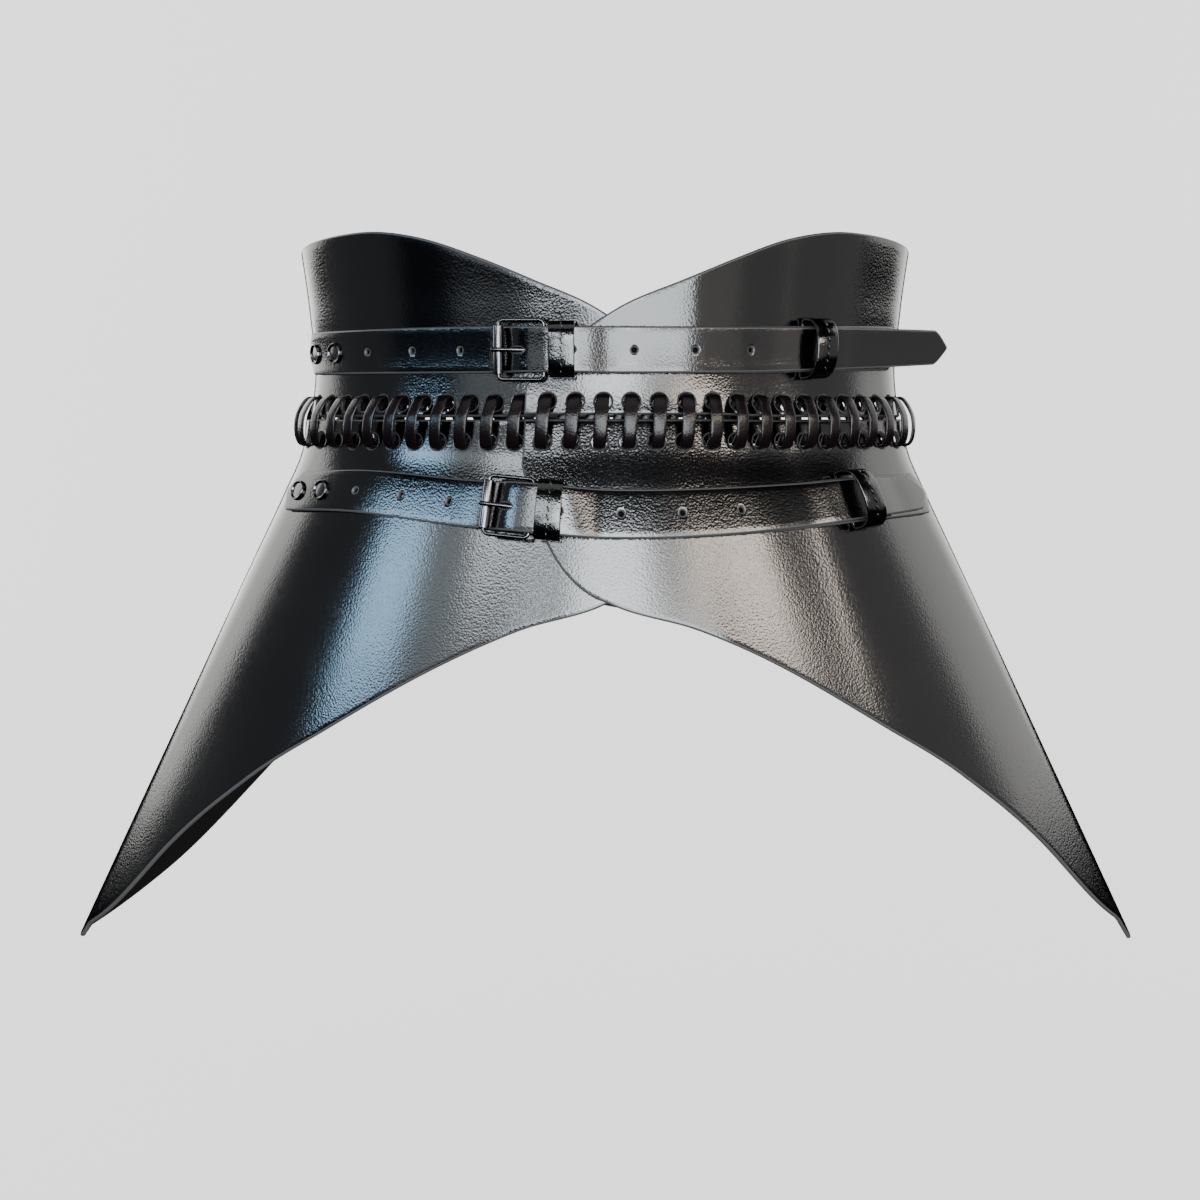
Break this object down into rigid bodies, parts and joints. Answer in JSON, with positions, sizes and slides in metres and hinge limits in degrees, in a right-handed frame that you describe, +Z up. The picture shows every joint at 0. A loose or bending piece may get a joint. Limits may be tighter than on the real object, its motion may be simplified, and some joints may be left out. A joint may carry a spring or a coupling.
{
  "type": "leather corset belt",
  "caption": "Black leather corset belt: laced waist band and flared pointed peplum, wrapped at the front and closed by two buckled straps.",
  "frame": {"origin": "middle of the waist opening, at the height of the laced seam between the band and the peplum", "axes": "+Z up, front towards -Y, +X to the right as seen from the front"},
  "size_m": [0.4631, 0.2047, 0.3017],
  "materials": {
    "panel_leather": "glossy black, fine pebble grain",
    "strap_leather": "glossy black, fine grain, stitched keepers",
    "lace_leather": "semi-gloss black with a faint plum cast",
    "black_metal": "polished black nickel"
  },
  "bodies": {
    "root": {"waist_band": "panel_leather", "peplum": "panel_leather", "lacing": "lace_leather", "upper_billet_strap": "strap_leather", "upper_buckle_strap": "strap_leather", "upper_buckle_frame": "black_metal", "upper_buckle_roller": "black_metal", "upper_buckle_prong": "black_metal", "upper_keeper_fixed": "strap_leather", "upper_keeper_end": "strap_leather", "upper_rivet_left_1": "black_metal", "upper_rivet_left_2": "black_metal", "lower_billet_strap": "strap_leather", "lower_buckle_strap": "strap_leather", "lower_buckle_frame": "black_metal", "lower_buckle_roller": "black_metal", "lower_buckle_prong": "black_metal", "lower_keeper_fixed": "strap_leather", "lower_keeper_end": "strap_leather", "lower_rivet_left_1": "black_metal", "lower_rivet_left_2": "black_metal"}
  },
  "joints": []
}
